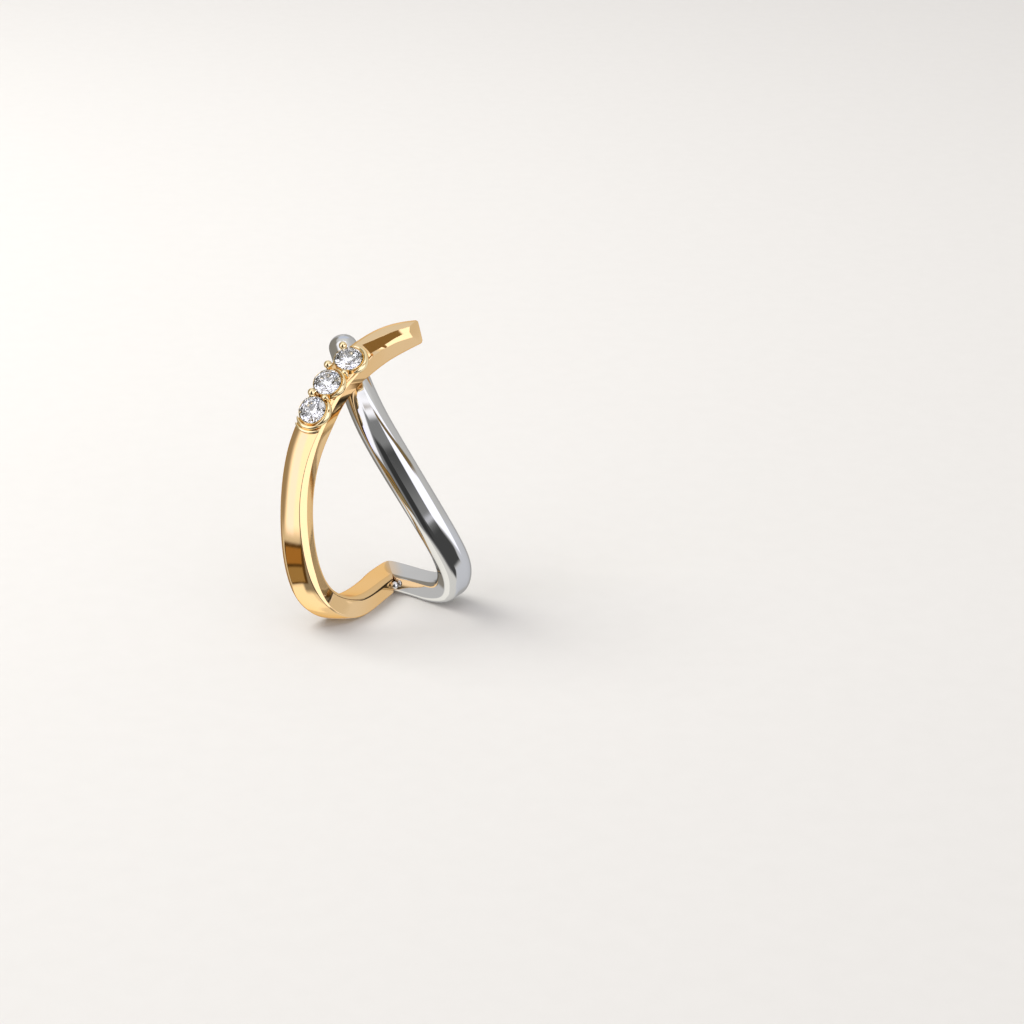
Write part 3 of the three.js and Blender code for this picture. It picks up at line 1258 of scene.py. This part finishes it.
@dataclass
class Brilliant:
    """A round brilliant cut, in millimetres.

    Attributes:
        radius: Its radius.
        table: Radius of the table, as a share of the stone's.
        crown: Height of the crown.
        girdle: Height of the girdle.
        pavilion: Depth of the pavilion.
        star: How far the star facets reach, as a share of the way from the table to the girdle.
        lower: Radius at which the lower facets end, as a share of the stone's.
    """

    radius: float = 0.8
    table: float = 0.56
    crown: float = 0.25
    girdle: float = 0.05
    pavilion: float = 0.68
    star: float = 0.55
    lower: float = 0.24

    @staticmethod
    def circle(radius: float, height: float, count: int, first: float = 0.0) -> List[Vector]:
        """Lay out points on a level circle, starting the given number of steps round it."""
        turns = [2 * math.pi * (k + first) / count for k in range(count)]
        return [Vector((radius * math.cos(t), radius * math.sin(t), height)) for t in turns]

    def shell(self) -> Shell:
        """Cut the stone.

        Returns:
            Points and facets, with the middle of the girdle at the origin and the table up.
        """
        top, foot = self.girdle / 2, -self.girdle / 2
        flat, inner = self.radius * self.table, self.radius * self.lower
        star = flat + (self.radius - flat) * self.star
        middle = math.cos(math.pi / 8)
        star_drop = (star * middle - flat) * self.crown / (self.radius - flat)
        inner_rise = inner * middle * self.pavilion / self.radius
        points = [
            *self.circle(flat, top + self.crown, 8),
            *self.circle(star, top + self.crown - star_drop, 8, 0.5),
            *self.circle(self.radius, top, 16),
            *self.circle(self.radius, foot, 16),
            *self.circle(inner, foot - self.pavilion + inner_rise, 8, 0.5),
            Vector((0.0, 0.0, foot - self.pavilion)),
        ]
        stars, upper, under, mains, culet = 8, 16, 32, 48, 56
        faces: List[Tuple[int, ...]] = [tuple(range(8))]
        for k in range(8):
            after, before = (k + 1) % 8, (k + 7) % 8
            left, middle, right = 2 * k, 2 * k + 1, (2 * k + 2) % 16
            faces.append((k, stars + k, after))
            faces.append((k, stars + before, upper + left, stars + k))
            faces.append((stars + k, upper + left, upper + middle))
            faces.append((stars + k, upper + middle, upper + right))
            faces.append((culet, mains + k, under + left, mains + before))
            faces.append((mains + k, under + middle, under + left))
            faces.append((mains + k, under + right, under + middle))
        for k in range(16):
            after = (k + 1) % 16
            faces.append((upper + k, under + k, under + after, upper + after))
        return points, faces


@dataclass(frozen=True)
class Rail:
    """A rounded rail bent round a stone, in millimetres and degrees.

    Attributes:
        radius: Radius of its bend.
        height: Its middle above the girdle.
        start, end: Where it begins and ends, counted from the bar's direction.
        wide, high: Half its size across and upwards.
        steps: Steps along it.
        sides: Sides of its section.
        blunt: How blunt its ends are: less is blunter.
    """

    radius: float
    height: float
    start: float
    end: float
    wide: float
    high: float
    steps: int = 24
    sides: int = 16
    blunt: float = 0.45

    def shell(self) -> Shell:
        """Bend the rail, thinning out at both ends.

        Returns:
            Points and faces, with the middle of the stone's girdle at the origin.
        """
        rings = []
        for k in range(self.steps + 1):
            share = k / self.steps
            angle = math.radians(self.start + (self.end - self.start) * share)
            swell = max(math.sin(math.pi * share), 0.02) ** self.blunt
            ring = []
            for i in range(self.sides):
                turn = 2 * math.pi * i / self.sides
                reach = self.radius + self.wide * swell * math.cos(turn)
                level = self.height + self.high * swell * math.sin(turn)
                ring.append(Vector((reach * math.cos(angle), reach * math.sin(angle), level)))
            rings.append(ring)
        return loft(rings)


@dataclass
class StoneRow:
    """Three stones in cups along the yellow bar, held by beads on the far side and claws on the near.

    The profiles give radius and height above the middle of the girdle for each step.

    Attributes:
        bar: The bar that carries them.
        places: Places of the stones, counted in stations.
        rise: Bar's centreline to the middle of the girdle.
        stone: The cut.
        stone_turn: How far each stone is turned from the one before it, in degrees.
        beads: Place and sideways reach of each far-side bead.
        drops: Place and sideways reach of each near-side claw.
        drop_shape: Stretch of the claws along the three axes.
        rails: Rails round the stones, with the number of the stone.
        drill: Profile of the hollow that is drilled into the bar under a stone.
        cup: Profile of a cup's flared wall, with the seat inside that the girdle rests in.
        lining: Profile of a cup's bright lining, which throws light back through the stone.
        bead_stem: Profile of a bead's stem.
        drop_stem: Profile of a claw's stem.
    """

    bar: Bar
    places: Sequence[float] = (4.03, 4.97, 5.87)
    rise: float = 0.95
    stone: Brilliant = field(default_factory=Brilliant)
    stone_turn: float = 11.0
    beads: Sequence[Tuple[float, float]] = ((3.71, 0.8), (4.54, 0.62), (5.43, 0.44))
    drops: Sequence[Tuple[float, float]] = ((4.5, -0.46), (5.41, -0.38))
    drop_shape: Triple = (0.8, 1.25, 1.0)
    rails: Sequence[Tuple[int, Rail]] = (
        (0, Rail(1.0, -0.16, -125, 35, 0.17, 0.27)),
        (1, Rail(0.97, -0.18, -135, 15, 0.12, 0.26)),
        (2, Rail(0.98, -0.16, -150, -30, 0.15, 0.25)),
        (2, Rail(1.02, -0.22, 126, 234, 0.14, 0.17)),
        (2, Rail(1.25, -0.3, 140, 222, 0.12, 0.12)),
    )
    drill: Profile = (
        (0.0, -0.95), (0.32, -0.95), (0.47, -0.64), (0.66, -0.38),
        (0.83, -0.14), (0.83, 0.4), (0.0, 0.4),
    )
    cup: Profile = (
        (0.84, 0.02), (0.86, -0.01), (0.87, -0.06), (0.83, -0.22), (0.72, -0.45), (0.6, -0.75),
        (0.56, -0.9), (0.3, -0.9), (0.3, -0.8), (0.44, -0.55), (0.62, -0.32), (0.78, -0.12),
        (0.81, 0.0),
    )
    lining: Profile = (
        (0.0, -0.86), (0.3, -0.86), (0.44, -0.62), (0.62, -0.37), (0.79, -0.13),
        (0.77, -0.1), (0.62, -0.28), (0.43, -0.55), (0.28, -0.78), (0.0, -0.79),
    )
    bead_stem: Profile = ((0.0, -0.9), (0.2, -0.9), (0.17, -0.5), (0.15, -0.05))
    drop_stem: Profile = ((0.0, -0.9), (0.27, -0.9), (0.25, -0.5), (0.2, -0.2))

    def seat(self, place: float, sideways: float = 0.0) -> Matrix:
        """Find the pose of a place on the row: X along the bar, Y to the far side, Z out.

        Args:
            place: Place counted in stations.
            sideways: Distance to the far side.

        Returns:
            The pose.
        """
        section = self.bar.at(place)
        out = section.out.normalized()
        across = (section.side - out * section.side.dot(out)).normalized()
        across *= math.copysign(1.0, -across.x)
        along = across.cross(out)
        pose = Matrix((along, across, out)).transposed().to_4x4()
        pose.translation = section.centre + out * self.rise + across * sideways
        return pose

    def at_stones(self, shell: Shell) -> List[Shell]:
        """Return a shell repeated at each stone."""
        return [moved(shell, self.seat(place)) for place in self.places]

    def seats(self) -> List[Shell]:
        """Return the hollows that are drilled into the bar under the stones."""
        return self.at_stones(lathe(self.drill, ROUND_SIDES))

    def build_stones(self, finish: bpy.types.Material) -> List[bpy.types.Object]:
        """Make the stones.

        Args:
            finish: Their material.

        Returns:
            The objects, each standing for its node.
        """
        made = []
        for number, place in enumerate(self.places, start=1):
            turn = Matrix.Rotation(math.radians(self.stone_turn * number), 4, "Z")
            shell = moved(self.stone.shell(), self.seat(place) @ turn)
            stone = piece(f"brilliant_{number}", [shell], Edge.FACETED, finish)
            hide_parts(f"stone_{number}")
            made.append(stone)
        return made

    def build_setting(self, finish: bpy.types.Material) -> List[bpy.types.Object]:
        """Make the cups, rails and prongs.

        Args:
            finish: Their material.

        Returns:
            The objects.
        """
        bead = lathe([*self.bead_stem, *rounded_top(0.24, 0.15, 0.24, -4)], BEAD_SIDES)
        drop = lathe([*self.drop_stem, *rounded_top(0.19, 0.02, 0.16, 0)], BEAD_SIDES)
        drop = moved(drop, Matrix.Diagonal((*self.drop_shape, 1.0)))
        parts = {
            "stone_cups": self.at_stones(turned_ring(self.cup, ROUND_SIDES)),
            "cup_rails": [moved(rail.shell(), self.seat(self.places[k])) for k, rail in self.rails],
            "bead_prongs": [moved(bead, self.seat(*spot)) for spot in self.beads],
            "drop_claws": [moved(drop, self.seat(*spot)) for spot in self.drops],
        }
        return [piece(name, shells, Edge.ROUND, finish) for name, shells in parts.items()]

    def build_linings(self, finish: bpy.types.Material) -> bpy.types.Object:
        """Make the linings of the cups in the given material."""
        shells = self.at_stones(lathe(self.lining, ROUND_SIDES))
        return piece("cup_linings", shells, Edge.ROUND, finish)


@dataclass
class EarPost:
    """The plain ear wire behind the crossing.

    Attributes:
        bar: The white bar that it is soldered to.
        place: Its place on the bar, counted in stations.
        direction: Where it points.
        diameter: Thickness of the wire.
        length: Length from the middle of the bar.
        foot: How far the solder at its foot stands out beyond the wire at each height.
        tip: Radius of the rounded edge at its tip.
    """

    bar: Bar
    place: float = 1.2
    direction: Triple = (-0.055, 0.943, -0.328)
    diameter: float = 0.8
    length: float = 8.5
    foot: Profile = ((0.25, 0.0), (0.22, 0.7), (0.08, 0.84), (0.0, 1.0))
    tip: float = 0.25

    def profile(self) -> List[Tuple[float, float]]:
        """Lay out the outline of the wire.

        Returns:
            Radius and height of each step.
        """
        radius, start = self.diameter / 2, self.foot[-1][1]
        straight = self.length - self.tip - start
        steps = [(0.0, 0.0), *((radius + out, height) for out, height in self.foot)]
        steps.extend((radius, start + straight * k / 6) for k in range(1, 7))
        for turn in (math.radians(11.5 * k) for k in range(1, 8)):
            across, up = self.tip * (math.cos(turn) - 1), self.tip * (math.sin(turn) - 1)
            steps.append((radius + across, self.length + up))
        return [*steps, (0.0, self.length)]

    def build(self, finish: bpy.types.Material) -> bpy.types.Object:
        """Make the wire.

        Args:
            finish: Its material.

        Returns:
            The object.
        """
        turn = UP.rotation_difference(Vector(self.direction).normalized())
        pose = Matrix.Translation(self.bar.at(self.place).centre) @ turn.to_matrix().to_4x4()
        wire = moved(lathe(self.profile(), ROUND_SIDES), pose)
        made = piece("ear_wire", [wire], Edge.ROUND, finish)
        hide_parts("ear_post")
        return made


# ---- Stage -------------------------------------------------------------------------------------


@dataclass(frozen=True)
class Panel:
    """A soft panel or flag of the light room, placed by compass round the earring, in degrees.

    Attributes:
        name: What it is.
        turn: First and last bearing, from the front towards the right.
        height: Lowest and highest elevation.
        soft: Width of its fading edge.
        lean: How far its bearing shifts for each degree of elevation.
        colour: Light that it sends, linear.
    """

    name: str
    turn: Tuple[float, float]
    height: Tuple[float, float]
    soft: float
    lean: float
    colour: Triple

    def mask(self, bench: NodeBench, turn: bpy.types.NodeSocket,
             height: bpy.types.NodeSocket) -> bpy.types.NodeSocket:
        """Add a mask that is 1 on the panel and fades out at its edges.

        Args:
            bench: Bench of the world.
            turn: Bearing that is looked up.
            height: Elevation that is looked up.

        Returns:
            The mask.
        """
        bearing = bench.reckon("ADD", turn, bench.reckon("MULTIPLY", height, self.lean))
        sides = []
        for value, (start, end) in ((bearing, self.turn), (height, self.height)):
            for edge, wanted in ((start, (0.0, 1.0)), (end, (1.0, 0.0))):
                given = (edge - self.soft / 2, edge + self.soft / 2)
                sides.append(bench.span(value, given, wanted, "SMOOTHSTEP"))
        mask = sides[0]
        for side in sides[1:]:
            mask = bench.reckon("MULTIPLY", mask, side)
        return mask


@dataclass(frozen=True)
class LightRoom:
    """The surroundings that the metal mirrors: a pale room with bright panels and dark flags.

    Attributes:
        base: Light of the bare room, linear.
        panels: Panels and flags, each laid over the ones before it.
    """

    base: Triple = (0.72, 0.71, 0.70)
    panels: Tuple[Panel, ...] = (
        Panel("overhead", (-999, 999), (62, 999), 30, 0, (0.95, 0.94, 0.92)),
        Panel("back_wall_left", (-999, -140), (42, 72), 10, 0, (0.80, 0.86, 1.00)),
        Panel("back_wall_right", (140, 999), (42, 72), 10, 0, (0.80, 0.86, 1.00)),
        Panel("table_top", (-999, 999), (-999, -50), 8, 0, (0.92, 0.90, 0.86)),
        Panel("table_left", (-135, -36), (-76, -44), 6, 0, (1.25, 1.22, 1.14)),
        Panel("table_right", (66, 140), (-62, -2), 10, 0, (0.80, 0.81, 0.86)),
        Panel("back_glow", (-999, -164), (0, 44), 10, 0, (0.93, 0.92, 0.92)),
        Panel("left_wall", (-150, -78), (-14, 48), 12, 0, (0.36, 0.33, 0.28)),
        Panel("left_wall_foot", (-150, -106), (-42, -14), 8, 0, (0.36, 0.33, 0.28)),
        Panel("left_key", (-77, 14), (-13, 75), 10, 0, (1.50, 1.48, 1.54)),
        Panel("left_key_core", (-73, -56), (-13, 40), 8, 0, (1.40, 1.38, 1.80)),
        Panel("front_flag", (-38, 40), (-52, 58), 8, -0.25, (0.30, 0.30, 0.30)),
        Panel("right_key", (20, 82), (-22, 999), 6, 0.15, (1.6, 1.6, 1.75)),
        Panel("top_flag", (101, 133), (23, 67), 7, 1.5, (0.26, 0.18, 0.08)),
        Panel("front_low_flag", (10, 62), (-50, -26), 8, 0, (0.08, 0.08, 0.08)),
        Panel("front_dark_flag", (-24, 12), (-50, 28), 12, 0, (0.05, 0.05, 0.05)),
        Panel("cabinet", (-78, -37), (-43.5, -18.5), 2, 0, (0.10, 0.06, 0.02)),
        Panel("cabinet_door", (-75.5, -42), (-30, -21), 1.5, 0, (0.38, 0.21, 0.06)),
        Panel("cabinet_foot", (-76, -42), (-42, -32), 1.5, 0, (0.36, 0.26, 0.12)),
    )

    def paint(self, tree: bpy.types.NodeTree) -> None:
        """Lay out the panels over one another in a world's node tree.

        Args:
            tree: The world's node tree.
        """
        bench = NodeBench(tree)
        split = bench.add("SeparateXYZ")
        bench.feed(split.inputs["Vector"], bench.add("TexCoord").outputs["Generated"])
        front = bench.reckon("MULTIPLY", split.outputs["Y"], -1.0)
        turn = bench.reckon("ARCTAN2", split.outputs["X"], front)
        turn = bench.reckon("MULTIPLY", turn, math.degrees(1.0))
        height = bench.reckon("ARCSINE", split.outputs["Z"], 0.0)
        height = bench.reckon("MULTIPLY", height, math.degrees(1.0))
        light: Feed = self.base
        for panel in self.panels:
            light = bench.mix(panel.mask(bench, turn, height), light, panel.colour, panel.name)
        bench.feed(tree.nodes["Background"].inputs["Color"], light)


@dataclass
class Studio:
    """Pale floor, soft light and camera, in millimetres.

    Attributes:
        camera_at: Place of the camera.
        camera_aim: What it looks at.
        lens: Its focal length.
        sensor: Width of its sensor.
        clip: Nearest and farthest distance that it sees, in metres.
        floor_size: Length of the floor's side.
        key_at: Place of the soft square light.
        key_aim: What it looks at.
        key_size: Length of its side.
        key_power: Its power in watts.
        room: What the metal mirrors.
    """

    camera_at: Triple = (7.85, -156.99, 68.18)
    camera_aim: Triple = (7.85, 11.76, 0.0)
    lens: float = 100.0
    sensor: float = 36.0
    clip: Tuple[float, float] = (0.01, 20.0)
    floor_size: float = 3000.0
    key_at: Triple = (-160.0, 60.0, 220.0)
    key_aim: Triple = (0.0, 0.0, 6.0)
    key_size: float = 160.0
    key_power: float = 0.6
    room: LightRoom = field(default_factory=LightRoom)

    @staticmethod
    def placed(name: str, data: bpy.types.ID, at: Triple, aim: Triple) -> bpy.types.Object:
        """Put a camera or light in its place.

        Args:
            name: Name of the object.
            data: The camera or light.
            at: Its place.
            aim: What it looks at.

        Returns:
            The object.
        """
        made = bpy.data.objects.new(name, data)
        made.location = Vector(at) * MM
        made.rotation_euler = (Vector(aim) - Vector(at)).to_track_quat("-Z", "Y").to_euler()
        bpy.context.scene.collection.objects.link(made)
        return made

    def build_camera(self) -> None:
        """Set up the camera."""
        data = bpy.data.cameras.new("camera")
        data.lens = self.lens
        data.sensor_width = self.sensor
        data.clip_start, data.clip_end = self.clip
        bpy.context.scene.camera = self.placed("camera", data, self.camera_at, self.camera_aim)

    def build_floor(self) -> None:
        """Lay the floor."""
        half = self.floor_size / 2 * MM
        corners = [(-half, -half, 0), (half, -half, 0), (half, half, 0), (-half, half, 0)]
        data = bpy.data.meshes.new("floor")
        data.from_pydata(corners, [], [(0, 1, 2, 3)])
        data.materials.append(PALE_PAPER.material())
        floor = bpy.data.objects.new("floor", data)
        bpy.context.scene.collection.objects.link(floor)
        floor.visible_glossy = False

    def build_world(self) -> None:
        """Surround the scene with the light room."""
        world = bpy.data.worlds.new("light_room")
        bpy.context.scene.world = world
        world.use_nodes = True
        self.room.paint(world.node_tree)

    def build_light(self) -> None:
        """Hang the soft light, which the metal doesn't mirror."""
        data = bpy.data.lights.new("key", "AREA")
        data.size = self.key_size * MM
        data.energy = self.key_power
        self.placed("key", data, self.key_at, self.key_aim).visible_glossy = False

    def build(self) -> None:
        """Build the whole stage."""
        self.build_camera()
        self.build_floor()
        self.build_world()
        self.build_light()
        bpy.context.scene.view_settings.view_transform = "Standard"


def main() -> None:
    """Build the earring and its stage."""
    logging.basicConfig(level=logging.INFO, format="%(message)s")
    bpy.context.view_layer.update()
    white = WHITE_GOLD.material()
    yellow_band, white_band = YellowBand(), WhiteBand()
    yellow_band.build(YELLOW_GOLD.material())
    white_band.build(white)
    row = StoneRow(yellow_band.bar)
    row.build_setting(SETTING_GOLD.material())
    row.build_linings(RHODIUM.material())
    row.build_stones(CLEAR_STONE.material())
    SolderBead().build(SOLDER.material())
    EarPost(white_band.bar).build(white)
    Studio().build()


if __name__ == "__main__":
    main()
